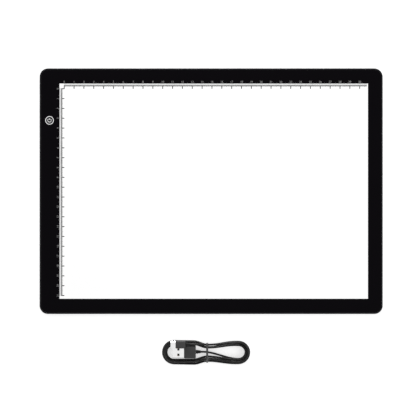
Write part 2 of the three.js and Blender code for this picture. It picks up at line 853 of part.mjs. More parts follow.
const usbWindows = [-1, 1].map((side) => block(
  usbWindowFromTip, usbWindowFromTip + usbWindowLength,
  (side * usbWindowSpread - usbWindowWidth) / 2, (side * usbWindowSpread + usbWindowWidth) / 2,
  -usbShellHeight, usbShellHeight,
));
addPiece(
  usbPlug, 'usb_a_shell',
  plugShell(usbShellEnd, usbShellWidth, usbShellHeight, usbShellWall, usbWindows), steel,
);
const usbInnerHalfWidth = usbShellWidth / 2 - usbShellWall - sheetGap;
const usbInnerHalfHeight = usbShellHeight / 2 - usbShellWall - sheetGap;
addPiece(
  usbPlug, 'usb_a_tongue',
  join(
    block(
      usbTongueSetBack, usbShellEnd, -usbInnerHalfWidth, usbInnerHalfWidth,
      -usbInnerHalfHeight, -usbInnerHalfHeight + usbTongueThickness,
    ),
    block(
      usbShellLength, usbShellEnd, -usbInnerHalfWidth, usbInnerHalfWidth,
      -usbInnerHalfHeight, usbInnerHalfHeight,
    ),
  ),
  chipBlack,
);
addPiece(
  usbPlug, 'usb_a_overmould',
  overmould(
    usbShellLength,
    {
      length: usbOvermouldLength, width: usbOvermouldWidth, height: usbOvermouldHeight,
      corner: usbOvermouldCorner, rounding: usbOvermouldRounding,
    },
    { depth: usbShellInsert, width: usbShellWidth, height: usbShellHeight },
  ),
  blackPlastic,
);
const usbRelief = addPiece(usbPlug, 'usb_a_strain_relief', strainRelief(), leadJacket);
usbRelief.position.x = usbOvermouldEnd + sheetGap;

const microPlug = new THREE.Group();
microPlug.position.set(microTipX, microSideShift, microAxisZ);
lead.add(microPlug);

const microShellEnd = microShellLength + microShellInsert;
addPiece(
  microPlug, 'micro_usb_shell',
  plugShell(microShellEnd, microShellWidth, microShellHeight, microShellWall, []), steel,
);
addPiece(
  microPlug, 'micro_usb_tongue',
  block(
    microShellWall, microShellEnd,
    -microShellWidth / 2 + 2 * microShellWall, microShellWidth / 2 - 2 * microShellWall,
    -microShellHeight / 2 + microShellWall + sheetGap,
    -microShellHeight / 2 + microShellWall + sheetGap + microTongueThickness,
  ),
  chipBlack,
);
addPiece(
  microPlug, 'micro_usb_overmould',
  overmould(
    microShellLength,
    {
      length: microOvermouldLength, width: microOvermouldWidth, height: microOvermouldHeight,
      corner: microOvermouldCorner, rounding: microOvermouldRounding,
    },
    { depth: microShellInsert, width: microShellWidth, height: microShellHeight },
  ),
  blackPlastic,
);
const microRelief = addPiece(microPlug, 'micro_usb_strain_relief', strainRelief(), leadJacket);
microRelief.position.x = microShellLength + microOvermouldLength + sheetGap;

// The hank runs from the USB-A plug's relief through its loops to the micro plug's relief
const reliefReach = sheetGap + reliefLength + seatGap;
const usbLeadEnd = new THREE.Vector3(usbTipX + usbOvermouldEnd + reliefReach, usbSideShift, usbAxisZ);
const microLeadEnd = new THREE.Vector3(microRightEnd + reliefReach, microSideShift, microAxisZ);
const leadPoints = tailPoints(usbLeadEnd, 1, hankPoint(firstStep));
for (let step = firstStep; step <= lastStep; step += 1) {
  leadPoints.push(hankPoint(step));
}
leadPoints.push(...tailPoints(microLeadEnd, 1, hankPoint(lastStep)).reverse());
addPiece(lead, 'cable_hank', leadTube(leadPoints), leadJacket);

const measured = leastGap(leadPoints);
console.log(
  `lead length ${measured.length.toFixed(0)} mm, least gap to itself ${measured.least.toFixed(2)} mm`,
);

// Cable tie: a band drawn tight round everything that passes the waist
function tieCrossings() {
  const crossings = [];
  [tieOffset - tieWidth / 2, tieOffset, tieOffset + tieWidth / 2].forEach((x) => {
    for (let index = 1; index < leadPoints.length; index += 1) {
      const [before, after] = [leadPoints[index - 1], leadPoints[index]];
      if ((before.x - x) * (after.x - x) <= 0) {
        crossings.push(before.clone().lerp(after, (before.x - x) / (before.x - after.x)));
      }
    }
  });
  return crossings;
}

// The outline round the crossings, grown by a radius: each corner is the furthest one its way
function tieOutline(crossings, radius) {
  const corners = [];
  for (let index = 0; index < tieSegments; index += 1) {
    const angle = (2 * Math.PI * index) / tieSegments;
    const reach = (point) => point.y * Math.cos(angle) + point.z * Math.sin(angle);
    const furthest = crossings.reduce((best, point) => (reach(point) > reach(best) ? point : best));
    corners.push(new THREE.Vector2(
      furthest.y + radius * Math.cos(angle), furthest.z + radius * Math.sin(angle),
    ));
  }
  return corners;
}

function cableTie() {
  const crossings = tieCrossings();
  const inner = leadDiameter / 2 + fitGap;
  const band = new THREE.Shape(tieOutline(crossings, inner + tieThickness));
  band.holes.push(new THREE.Path(tieOutline(crossings, inner)));
  const acrossLead = new THREE.Matrix4().makeBasis(
    new THREE.Vector3(0, 1, 0), new THREE.Vector3(0, 0, 1), new THREE.Vector3(1, 0, 0),
  );
  return slab(band, tieWidth, -tieWidth / 2).applyMatrix4(acrossLead).translate(tieOffset, 0, 0);
}

addPiece(lead, 'cable_tie', cableTie(), blackRubber);

export default tracingPad;
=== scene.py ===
"""Looks of an LED tracing pad with its USB lead in a tied hank. Every length is in metres."""

import math

import bmesh
import bpy
from mathutils import Matrix, Vector


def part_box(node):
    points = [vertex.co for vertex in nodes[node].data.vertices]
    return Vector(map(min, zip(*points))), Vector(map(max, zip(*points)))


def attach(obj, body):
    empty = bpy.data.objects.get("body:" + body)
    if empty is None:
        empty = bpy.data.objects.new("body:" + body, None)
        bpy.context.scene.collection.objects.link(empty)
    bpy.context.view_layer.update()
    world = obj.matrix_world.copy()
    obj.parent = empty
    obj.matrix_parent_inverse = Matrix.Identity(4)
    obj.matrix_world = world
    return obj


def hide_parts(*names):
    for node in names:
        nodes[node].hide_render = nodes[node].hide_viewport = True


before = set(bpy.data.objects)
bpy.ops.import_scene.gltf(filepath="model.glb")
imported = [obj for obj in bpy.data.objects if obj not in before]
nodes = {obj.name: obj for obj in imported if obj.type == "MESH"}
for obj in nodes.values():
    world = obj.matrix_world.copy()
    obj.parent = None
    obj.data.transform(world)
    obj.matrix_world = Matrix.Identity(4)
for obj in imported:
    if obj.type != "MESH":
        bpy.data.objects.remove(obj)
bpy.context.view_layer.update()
MM = 0.001
FINE_GAP = 0.05 * MM

# The photograph's frame: a square seen straight from above
FRAME_PIXELS = 400
PIXELS_PER_METRE = 985
PAD_CENTRE_PIXEL = (211.17, 191.19)
LENS_MM = 120
SENSOR_MM = 36
CLIP_DISTANCES = 10
PAD_TOP = 6 * MM

# Studio: each lamp is its name, place, size and power in watts, and points at the origin
PURE_WHITE = (1, 1, 1, 1)
SOFT_WORLD_STRENGTH = 0.55
FLOOR_REACH = 6
FLOOR_LEVEL = 0.8
FLOOR_GLOW = 0.56
LAMPS = (
    ("key", (-0.15, 1.75, 0.57), (1.2, 0.5), 33),
    ("fill", (0.9, -0.6, 0.9), (0.8, 0.8), 4),
)

# Edges that turn by more than these degrees are shaded sharp
SHARP_ANGLE = 35
SHELL_SHARP_ANGLE = 40
TURNED_SHARP_ANGLE = 50

# Lead, as it is wound in the CAD part
LEAD_DIAMETER = 1.95 * MM
LEAD_BEVEL_STEPS = 4
FOLD_RADIUS_LEFT = 7.1 * MM
FOLD_RADIUS_RIGHT = 6.6 * MM
LOOP_STEP = 2.5 * MM
RUN_HALF_LENGTH = 32.7 * MM
WAIST_PINCH = 3.2 * MM
WAIST_LIFT = 0.8 * MM
WAIST_REACH_LEFT = 13.6 * MM
WAIST_REACH_RIGHT = 30 * MM
LAYER_COUNT = 3
LAYER_LOOPS = 2
RUN_STEPS = 12
FOLD_STEPS = 7
LOOP_STEPS = 2 * (RUN_STEPS + FOLD_STEPS)
FULL_LOOPS = 5
STEPS_BEFORE_MICRO_PLUG = 4
FIRST_STEP = RUN_STEPS
LAST_STEP = FULL_LOOPS * LOOP_STEPS + RUN_STEPS + FOLD_STEPS + STEPS_BEFORE_MICRO_PLUG
TAIL_STEPS = 6
STEP_PARTS = 3
SEAT_GAP = 0.3 * MM
RELIEF_HOLD = 0.5 * MM
LEAD_CENTRE = Vector((-4.9 * MM, -163.825 * MM, 0))

# Cable tie
TIE_OFFSET = 0.9 * MM
TIE_WIDTH = 2 * MM
TIE_THICKNESS = 0.6 * MM
TIE_GAP = 0.15 * MM
TIE_SEGMENTS = 96

# Plugs and socket
SHELL_CORNER_SEGMENTS = 6
USB_SHELL_WALL = 0.3 * MM
USB_SHELL_CORNER = 0.7 * MM
USB_WINDOW_LENGTH = 2.2 * MM
USB_WINDOW_WIDTH = 2.4 * MM
USB_WINDOW_FROM_TIP = 5.2 * MM
USB_WINDOW_SPREAD = 5.6 * MM
USB_TONGUE_THICKNESS = 1.8 * MM
USB_CONTACT_WIDTH = 1 * MM
USB_CONTACT_END = 4.9 * MM
USB_CONTACTS = ((-3.5 * MM, 0.4 * MM), (-1 * MM, 1.4 * MM), (1 * MM, 1.4 * MM), (3.5 * MM, 0.4 * MM))
MICRO_WIDTH = 6.9 * MM
MICRO_HEIGHT = 1.85 * MM
MICRO_SHELL_WALL = 0.25 * MM
SOCKET_WALL = 0.3 * MM
KEY_SLOPE_WIDTH = 0.9 * MM
KEY_SLOPE_HEIGHT = 0.7 * MM
KEY_CORNER = 0.15 * MM
KEY_CORNER_SEGMENTS = 3
GRIP_CORNER_SEGMENTS = 8
GRIP_ROUNDING_STEPS = 4
USB_GRIP_POCKET = 3 * MM
USB_GRIP_CORNER = 1.6 * MM
USB_GRIP_ROUNDING = 0.9 * MM
MICRO_GRIP_POCKET = 1.5 * MM
MICRO_GRIP_CORNER = 1.5 * MM
MICRO_GRIP_ROUNDING = 0.8 * MM
RELIEF_TIP_DIAMETER = 3 * MM
RELIEF_SEGMENTS = 32
RELIEF_GROOVES = 3
RELIEF_GROOVE_DEPTH = 0.35 * MM
RELIEF_GROOVE_STEPS = 12
RELIEF_GROOVE_SHARPNESS = 4

# Power button
TURNED_SEGMENTS = 64
RING_LIP_HEIGHT = 0.2 * MM
RING_BARREL = 8 * MM
RING_BORE = 7.4 * MM
CAP_DIAMETER = 7.1 * MM
CAP_WALL = 0.3 * MM
FLANGE_THICKNESS = 0.4 * MM
SYMBOL_RADIUS = 1.75 * MM
SYMBOL_STROKE = 0.45 * MM
SYMBOL_MOUTH_DEGREES = 80
SYMBOL_ARC_STEPS = 48
SYMBOL_END_STEPS = 8
SYMBOL_BAR_FOOT = 0.3 * MM
SYMBOL_BAR_HEAD = 2.3 * MM
SYMBOL_DEPTH = 0.2 * MM
SYMBOL_RISE = 0.01 * MM

# Window and the rulers printed along its top and left edges
WINDOW_LEFT = -154 * MM
WINDOW_TOP = 109.3 * MM
TOP_RULER_START = 4.8 * MM
LEFT_RULER_START = 5.25 * MM
TOP_RULER_MM = 307
LEFT_RULER_MM = 210
CENTIMETRE_MM = 10
HALF_CENTIMETRE_MM = 5
MARK_WIDTH = 0.32 * MM
MARK_LENGTH = 3.3 * MM
HALF_MARK_LENGTH = 3.7 * MM
CENTIMETRE_MARK_WIDTH = 0.9 * MM
TOP_CENTIMETRE_MARK_LENGTH = 5.4 * MM
LEFT_CENTIMETRE_MARK_LENGTH = 5 * MM
BASE_LINE_INSET = 1.85 * MM
BASE_LINE_WIDTH = 0.75 * MM
NUMBER_HEIGHT = 2.1 * MM
NUMBER_OFFSET = 1.75 * MM
NUMBER_CURVE_STEPS = 5
FONT_CAP_SHARE = 0.72
PRINT_DEPTH = 0.01 * MM
PRINT_RISE = 0.015 * MM
CORNER_SNAP = 0.0001 * MM
NUMBER_SNAP = PRINT_RISE / 10


# Meshes
def new_object(name, data):
    made = bpy.data.objects.new(name, data)
    bpy.context.scene.collection.objects.link(made)
    return made


def add_mesh(name, mesh, body, material, sharp_angle=SHARP_ANGLE):
    for polygon in mesh.polygons:
        polygon.use_smooth = True
    mesh.set_sharp_from_angle(angle=math.radians(sharp_angle))
    piece = new_object(name, mesh)
    piece.data.materials.append(material)
    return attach(piece, body)


def mesh_of(name, built):
    """The mesh of a bmesh, which is freed."""
    mesh = bpy.data.meshes.new(name)
    built.to_mesh(mesh)
    built.free()
    return mesh


def skin(name, loops, closed=False):
    """Faces between loops of equally many points: capped at both ends, or closed on itself."""
    mesh = bpy.data.meshes.new(name)
    count = len(loops[0])
    points = [point for loop in loops for point in loop]
    faces = []
    for ring in range(len(loops) if closed else len(loops) - 1):
        start = ring * count
        end = (ring + 1) % len(loops) * count
        for index in range(count):
            after = (index + 1) % count
            faces.append((start + index, start + after, end + after, end + index))
    if not closed:
        faces.append(tuple(reversed(range(count))))
        faces.append(tuple(range(len(points) - count, len(points))))
    mesh.from_pydata(points, [], faces)
    built = bmesh.new()
    built.from_mesh(mesh)
    bmesh.ops.recalc_face_normals(built, faces=built.faces)
    built.to_mesh(mesh)
    built.free()
    return mesh


def circle_angles(count):
    return [2 * math.pi * index / count for index in range(count)]


def rounded_outline(width, height, radius, segments):
    """Points of a rounded rectangle round the origin, counter-clockwise."""
    points = []
    centres = ((1, 1), (-1, 1), (-1, -1), (1, -1))
    for quarter, (right, up) in enumerate(centres):
        for step in range(segments + 1):
            angle = math.pi / 2 * (quarter + step / segments)
            points.append((
                right * (width / 2 - radius) + radius * math.cos(angle),
                up * (height / 2 - radius) + radius * math.sin(angle),
            ))
    return points


def rounded_polygon(corners, radius, segments):
    """Points of a convex polygon with an arc of this radius in each corner, the way its corners run."""
    points = []
    for index, (u, v) in enumerate(corners):
        corner = Vector((u, v))
        before = (Vector(corners[index - 1]) - corner).normalized()
        after = (Vector(corners[(index + 1) % len(corners)]) - corner).normalized()
        half = before.angle(after) / 2
        middle = corner + (before + after).normalized() * radius / math.sin(half)
        start = corner + before * radius / math.tan(half) - middle
        for step in range(segments + 1):
            sweep = (math.pi - 2 * half) * step / segments
            turned_start = Matrix.Rotation(sweep, 2) @ start
            points.append(tuple(middle + turned_start))
    return points


def boxes(name, spans):
    """One mesh of upright boxes, each given as (left, right, front, back, bottom, top)."""
    built = bmesh.new()
    for left, right, front, back, bottom, top in spans:
        made = bmesh.ops.create_cube(built, size=1)
        size = Matrix.Diagonal((right - left, back - front, top - bottom, 1))
        centre = Vector(((left + right) / 2, (front + back) / 2, (bottom + top) / 2))
        bmesh.ops.transform(built, matrix=Matrix.Translation(centre) @ size, verts=made["verts"])
    return mesh_of(name, built)


def middle_of(node):
    low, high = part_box(node)
    return (low + high) / 2


# Materials
GRAIN_DETAIL = 3
PATCH_GRAINS = 40
PATCH_DETAIL = 2
PATCH_SHARE = 0.4


def add_noise(tree, place, grain, detail):
    """A noise of this grain over a place socket."""
    noise = tree.nodes.new("ShaderNodeTexNoise")
    noise.inputs["Scale"].default_value = 1 / grain
    noise.inputs["Detail"].default_value = detail
    tree.links.new(place, noise.inputs["Vector"])
    return noise.outputs["Fac"]


def finish(name, colour, tone, roughness, grain, bump, stretch=(1, 1, 1), **sockets):
    """A surface whose height varies with a fine grain, and its colour and gloss with broad patches too."""
    material = bpy.data.materials.new(name)
    material.use_nodes = True
    tree = material.node_tree
    shader = tree.nodes["Principled BSDF"]
    for socket, value in sockets.items():
        shader.inputs[socket.replace("_", " ")].default_value = value
    place = tree.nodes.new("ShaderNodeTexCoord")
    mapping = tree.nodes.new("ShaderNodeMapping")
    mapping.inputs["Scale"].default_value = stretch
    tree.links.new(place.outputs["Object"], mapping.inputs["Vector"])
    noise = add_noise(tree, mapping.outputs["Vector"], grain, GRAIN_DETAIL)
    patches = add_noise(tree, place.outputs["Object"], PATCH_GRAINS * grain, PATCH_DETAIL)
    mottle = tree.nodes.new("ShaderNodeMix")
    mottle.inputs["Factor"].default_value = PATCH_SHARE
    tree.links.new(noise, mottle.inputs["A"])
    tree.links.new(patches, mottle.inputs["B"])
    blend = tree.nodes.new("ShaderNodeMix")
    blend.data_type = "RGBA"
    blend.inputs["A"].default_value = (*colour, 1)
    blend.inputs["B"].default_value = (*tone, 1)
    tree.links.new(mottle.outputs["Result"], blend.inputs["Factor"])
    tree.links.new(blend.outputs["Result"], shader.inputs["Base Color"])
    spread = tree.nodes.new("ShaderNodeMapRange")
    spread.inputs["To Min"].default_value = roughness[0]
    spread.inputs["To Max"].default_value = roughness[1]
    tree.links.new(mottle.outputs["Result"], spread.inputs["Value"])
    tree.links.new(spread.outputs["Result"], shader.inputs["Roughness"])
    height = tree.nodes.new("ShaderNodeBump")
    height.inputs["Distance"].default_value = bump
    tree.links.new(noise, height.inputs["Height"])
    tree.links.new(height.outputs["Normal"], shader.inputs["Normal"])
    return material


def same(level):
    return (level, level, level)


ABS = finish(
    "black_abs", (0.003, 0.0028, 0.0042), (0.006, 0.0056, 0.008), (0.4, 0.6),
    0.35 * MM, 0.02 * MM, Specular_IOR_Level=0.12,
)
KEY = finish(
    "key_plastic", (0.002, 0.0019, 0.0026), (0.0036, 0.0034, 0.0046), (0.34, 0.46),
    0.12 * MM, 0.002 * MM, Specular_IOR_Level=0.12,
)
FILM = finish(
    "black_border_film", (0.0022, 0.0018, 0.0026), (0.0032, 0.0026, 0.0036), (0.24, 0.36),
    0.6 * MM, 0.001 * MM, Specular_IOR_Level=0.02,
)
PANEL = finish(
    "lit_panel", same(0.68), same(0.7), (0.34, 0.42), 0.5 * MM, 0.0005 * MM,
    Emission_Color=PURE_WHITE, Emission_Strength=0.37, Specular_IOR_Level=0.3,
)
GUIDE = finish(
    "clear_guide", (0.86, 0.9, 0.92), (0.88, 0.92, 0.94), (0.04, 0.08), 2 * MM, 0.0005 * MM,
    Transmission_Weight=0.9, IOR=1.49,
)
SHEET = finish("white_sheet", same(0.82), same(0.86), (0.5, 0.65), 0.3 * MM, 0.002 * MM)
TAPE = finish("adhesive_tape", (0.72, 0.7, 0.62), (0.8, 0.78, 0.7), (0.6, 0.8), 0.4 * MM, 0.01 * MM)
BOARD = finish(
    "circuit_board", (0.008, 0.1, 0.035), (0.014, 0.15, 0.055), (0.3, 0.45), 0.5 * MM, 0.01 * MM,
)
LED = finish("led_package", (0.85, 0.74, 0.3), (0.9, 0.82, 0.42), (0.2, 0.35), 0.3 * MM, 0.002 * MM)
STEEL = finish(
    "plated_steel", same(0.8), same(0.87), (0.14, 0.24), 0.12 * MM, 0.001 * MM, (0.08, 1, 1),
    Metallic=1,
)
# White plastic that gives off light of its own: a painted glow that brightens the button's trim ring and
# the switch plunger, which are no lamps
WHITE_WITH_PAINTED_GLOW = finish(
    "white_plastic", same(0.7), same(0.75), (0.28, 0.36), 0.25 * MM, 0.002 * MM,
    Emission_Color=PURE_WHITE, Emission_Strength=0.3,
)
LIT = finish(
    "lit_plastic", same(0.78), same(0.84), (0.3, 0.4), 0.25 * MM, 0.002 * MM,
    Emission_Color=PURE_WHITE, Emission_Strength=0.25,
)
RESIN = finish("chip_resin", same(0.012), same(0.02), (0.35, 0.55), 0.1 * MM, 0.004 * MM)
CERAMIC = finish(
    "capacitor_ceramic", (0.4, 0.24, 0.12), (0.48, 0.3, 0.16), (0.35, 0.5), 0.2 * MM, 0.003 * MM,
)
RED = finish("red_insulation", (0.36, 0.012, 0.01), (0.42, 0.02, 0.015), (0.35, 0.5), 0.3 * MM, 0.003 * MM)
BLACK = finish("black_insulation", same(0.01), same(0.016), (0.35, 0.5), 0.3 * MM, 0.003 * MM)
RUBBER = finish("foot_rubber", same(0.01), same(0.02), (0.7, 0.9), 0.2 * MM, 0.02 * MM)
JACKET = finish(
    "lead_jacket", same(0.003), same(0.009), (0.2, 0.3), 0.3 * MM, 0.006 * MM,
    Specular_IOR_Level=0.17,
)
GRIP = finish(
    "plug_overmould", same(0.034), same(0.05), (0.34, 0.48), 0.25 * MM, 0.008 * MM,
    Specular_IOR_Level=0.25,
)
TIE = finish("tie_rubber", same(0.02), same(0.035), (0.35, 0.5), 0.2 * MM, 0.006 * MM)
INK = finish("ruler_ink", same(0.02), same(0.03), (0.5, 0.6), 0.2 * MM, 0.001 * MM)
NUMBER = finish("number_ink", same(0.21), same(0.26), (0.5, 0.6), 0.2 * MM, 0.001 * MM)
GOLD = finish(
    "contact_gold", (0.78, 0.5, 0.16), (0.84, 0.56, 0.2), (0.2, 0.3), 0.1 * MM, 0.001 * MM,
    (0.1, 1, 1), Metallic=1,
)

NODE_FINISHES = {
    "back_cover": ABS, "button_cap": KEY, "border_film": FILM, "front_panel": PANEL,
    "light_guide_plate": GUIDE, "reflector_sheet": SHEET, "diffuser_sheet": SHEET,
    "panel_tape": TAPE, "led_strip_tape": TAPE, "main_board": BOARD, "led_strip_board": BOARD,
    "button_led": LED, "socket_shell": STEEL, "usb_a_shell": STEEL, "micro_usb_shell": STEEL,
    "switch_body": STEEL, "button_ring": WHITE_WITH_PAINTED_GLOW, "button_symbol": LIT, "switch_plunger": WHITE_WITH_PAINTED_GLOW,
    "driver_chip": RESIN, "controller_chip": RESIN, "inductor": RESIN, "socket_tongue": RESIN,
    "usb_a_tongue": RESIN, "micro_usb_tongue": RESIN, "input_capacitor": CERAMIC,
    "output_capacitor": CERAMIC, "wire_positive": RED, "wire_negative": BLACK,
    "cable_hank": JACKET, "usb_a_strain_relief": JACKET, "micro_usb_strain_relief": JACKET,
    "usb_a_overmould": GRIP, "micro_usb_overmould": GRIP, "cable_tie": TIE,
}
for name, node in nodes.items():
    material = NODE_FINISHES.get(name) or (RUBBER if name.startswith("foot") else LED)
    node.data.materials.clear()
    node.data.materials.append(material)


# Camera, straight above the middle of the photograph's frame
def add_camera():
    middle = FRAME_PIXELS / 2
    camera = new_object("camera", bpy.data.cameras.new("camera"))
    camera.data.lens = LENS_MM
    camera.data.sensor_width = SENSOR_MM
    distance = FRAME_PIXELS / PIXELS_PER_METRE * LENS_MM / SENSOR_MM
    camera.location = (
        (middle - PAD_CENTRE_PIXEL[0]) / PIXELS_PER_METRE,
        (PAD_CENTRE_PIXEL[1] - middle) / PIXELS_PER_METRE,
        PAD_TOP + distance,
    )
    camera.data.clip_end = CLIP_DISTANCES * distance
    bpy.context.scene.camera = camera


add_camera()


# Lead: layers of loops between two folds, drawn in and up by the tie, and a tail to each plug
def waist_at(x):
    """How far the tie draws the lead in at x: 1 at the tie and 0 beyond its reach."""
    from_tie = x - TIE_OFFSET
    reach = WAIST_REACH_LEFT if from_tie < 0 else WAIST_REACH_RIGHT
    return math.cos(math.pi / 2 * min(abs(from_tie) / reach, 1)) ** 2


def inner_radius_at(x):
    rightness = min(max(x / RUN_HALF_LENGTH, 0), 1)
    return FOLD_RADIUS_LEFT + (FOLD_RADIUS_RIGHT - FOLD_RADIUS_LEFT) * rightness


def hank_point(step):
    """A step's place: each loop is a front run, the right fold, a back run and the left fold."""
    phase = step % LOOP_STEPS
    turns = (step - RUN_STEPS / 2) / LOOP_STEPS
    outward = LAYER_LOOPS - abs(LAYER_LOOPS - turns % (2 * LAYER_LOOPS))
    layer = 0
    for climb in range(1, LAYER_COUNT):
        layer += min(max((step - climb * LAYER_LOOPS * LOOP_STEPS) / RUN_STEPS, 0), 1)
    base = LEAD_DIAMETER / 2 + LOOP_STEP * layer
    on_front = phase <= RUN_STEPS
    if on_front or RUN_STEPS + FOLD_STEPS <= phase <= 2 * RUN_STEPS + FOLD_STEPS:
        share = (phase if on_front else phase - RUN_STEPS - FOLD_STEPS) / RUN_STEPS
        side = -1 if on_front else 1
        x = -side * RUN_HALF_LENGTH * (2 * share - 1)
        waist = waist_at(x)
        radius = inner_radius_at(x) + LOOP_STEP * outward - WAIST_PINCH * waist
        return Vector((x, side * radius, base + WAIST_LIFT * waist))
    on_right = phase < RUN_STEPS + FOLD_STEPS
    turn = (phase - RUN_STEPS if on_right else phase - 2 * RUN_STEPS - FOLD_STEPS) / FOLD_STEPS
    angle = math.pi * (turn + (-0.5 if on_right else 0.5))
    middle = RUN_HALF_LENGTH if on_right else -RUN_HALF_LENGTH
    radius = inner_radius_at(middle) + LOOP_STEP * outward
    return Vector((middle + radius * math.cos(angle), radius * math.sin(angle), base))


def tail_points(plug_end, hank_end):
    """A tail leaves its plug straight for one diameter, then eases over to where the hank begins."""
    straight_end = plug_end + Vector((LEAD_DIAMETER, 0, 0))
    points = [plug_end, straight_end]
    count = TAIL_STEPS * STEP_PARTS
    across = hank_end - straight_end
    for index in range(1, count):
        share = index / count
        eased = share * share * (3 - 2 * share)
        points.append(straight_end + Vector((across.x * share, across.y * eased, across.z * eased)))
    return points


def tip_of(node):
    """The middle of a relief's right end, in the lead's own frame, a gap ahead of it."""
    low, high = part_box(node)
    middle = Vector((high.x + SEAT_GAP, (low.y + high.y) / 2, (low.z + high.z) / 2))
    return middle - LEAD_CENTRE


def lead_points():
    """The route from relief to relief. Both reliefs hold an end, so no gap shows at their tips."""
    usb_tip, micro_tip = tip_of("usb_a_strain_relief"), tip_of("micro_usb_strain_relief")
    held = Vector((SEAT_GAP + RELIEF_HOLD, 0, 0))
    points = [usb_tip - held, *tail_points(usb_tip, hank_point(FIRST_STEP))]
    steps = (LAST_STEP - FIRST_STEP) * STEP_PARTS
    points += [hank_point(FIRST_STEP + index / STEP_PARTS) for index in range(steps + 1)]
    points += [*reversed(tail_points(micro_tip, hank_point(LAST_STEP))), micro_tip - held]
    return [point + LEAD_CENTRE for point in points]


def add_lead(points):
    """One unbroken tube along the route, closed at both ends."""
    curve = bpy.data.curves.new("usb_lead", "CURVE")
    curve.dimensions = "3D"
    curve.bevel_depth = LEAD_DIAMETER / 2
    curve.bevel_resolution = LEAD_BEVEL_STEPS
    curve.use_fill_caps = True
    spline = curve.splines.new("POLY")
    spline.points.add(len(points) - 1)
    for place, point in zip(spline.points, points):
        place.co = (*point, 1)
    spline.use_smooth = True
    lead = new_object("usb_lead", curve)
    curve.materials.append(JACKET)
    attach(lead, "pad")
    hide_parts("cable_hank")
    return lead


# Cable tie: a band of rounded section drawn tight round the whole bundle
def tie_crossings(points, middle):
    """Where the lead passes the tie's two faces and its middle, as (y, z)."""
    crossings = []
    for x in (middle - TIE_WIDTH / 2, middle, middle + TIE_WIDTH / 2):
        for before, after in zip(points, points[1:]):
            if (before.x - x) * (after.x - x) <= 0:
                place = before.lerp(after, (before.x - x) / (before.x - after.x))
                crossings.append((place.y, place.z))
    return crossings


def tie_loop(crossings, x, radius):
    """The outline round the crossings, grown by a radius: each point is the furthest one its way."""
    loop = []
    for angle in circle_angles(TIE_SEGMENTS):
        away = (math.cos(angle), math.sin(angle))
        y, z = max(crossings, key=lambda place: place[0] * away[0] + place[1] * away[1])
        loop.append(Vector((x, y + radius * away[0], z + radius * away[1])))
    return loop


def add_tie(points):
    middle = middle_of("cable_tie").x
    crossings = tie_crossings(points, middle)
    inner = LEAD_DIAMETER / 2 + TIE_GAP
    soft = TIE_THICKNESS / 4
    half = TIE_WIDTH / 2
    section = [
        (-half + soft, 0), (half - soft, 0), (half, soft), (half, TIE_THICKNESS - soft),
        (half - soft, TIE_THICKNESS), (-half + soft, TIE_THICKNESS),
        (-half, TIE_THICKNESS - soft), (-half, soft),
    ]
    loops = [tie_loop(crossings, middle + x, inner + height) for x, height in section]
    tie = add_mesh("lead_tie", skin("lead_tie", loops, closed=True), "pad", TIE, TURNED_SHARP_ANGLE)
    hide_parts("cable_tie")
    return tie


# Plugs, built along X from their tips at the left
def placed(outline, x, axis):
    """An outline of (y, z) points stood across the axis at x."""
    return [Vector((x, axis.y + v, axis.z + w)) for v, w in outline]


def along_x(profile, axis, segments):
    """Loops of a rounded rectangle, each row of the profile as (x, width, height, corner radius)."""
    return [
        placed(rounded_outline(width, height, radius, segments), x, axis)
        for x, width, height, radius in profile
    ]


def keyed_outline(width, height, up):
    """A micro connector's section: a wide face, and a narrow one between slanted corners."""
    half, rise = width / 2, height / 2
    slope = KEY_SLOPE_WIDTH - (MICRO_WIDTH - width) / 4
    drop = KEY_SLOPE_HEIGHT - (MICRO_HEIGHT - height) / 4
    corners = [
        (half, -rise), (half, rise - drop), (half - slope, rise),
        (-half + slope, rise), (-half, rise - drop), (-half, -rise),
    ]
    if not up:
        corners = [(-v, -w) for v, w in corners]
    return rounded_polygon(corners, KEY_CORNER, KEY_CORNER_SEGMENTS)


def cut_out(piece, spans):
    """Cuts upright boxes out of a piece and leaves no modifier on it."""
    cutter = new_object("cutter", boxes("cutter", spans))
    modifier = piece.modifiers.new("cut", "BOOLEAN")
    modifier.operation = "DIFFERENCE"
    modifier.solver = "EXACT"
    modifier.object = cutter
    graph = bpy.context.evaluated_depsgraph_get()
    mesh = bpy.data.meshes.new_from_object(piece.evaluated_get(graph))
    piece.modifiers.clear()
    piece.data = mesh
    bpy.data.objects.remove(cutter)


def usb_windows():
    """The two windows of the USB-A shell as (left, right, front, back), from its tip and its axis."""
    half = USB_WINDOW_WIDTH / 2
    left, right = USB_WINDOW_FROM_TIP, USB_WINDOW_FROM_TIP + USB_WINDOW_LENGTH
    middles = (-USB_WINDOW_SPREAD / 2, USB_WINDOW_SPREAD / 2)
    return [(left, right, middle - half, middle + half) for middle in middles]


def add_usb_shell(name, node):
    """The USB-A plug's shell, a folded sheet open at both ends, with its two windows."""
    wall, corner = USB_SHELL_WALL, USB_SHELL_CORNER
    low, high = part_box(node)
    size = high - low
    axis = (low + high) / 2
    lip = wall / 3
    inner = (size.y - 2 * wall, size.z - 2 * wall, corner - wall)
    profile = [
        (high.x, size.y, size.z, corner),
        (low.x + lip, size.y, size.z, corner),
        (low.x, size.y - 2 * lip, size.z - 2 * lip, corner - lip),
        (low.x, *inner),
        (high.x, *inner),
    ]
    loops = along_x(profile, axis, SHELL_CORNER_SEGMENTS)
    shell = add_mesh(name, skin(name, loops, closed=True), "pad", STEEL, SHELL_SHARP_ANGLE)
    cut_out(shell, [
        (low.x + left, low.x + right, axis.y + front, axis.y + back, low.z - wall, high.z + wall)
        for left, right, front, back in usb_windows()
    ])
    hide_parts(node)
    return shell


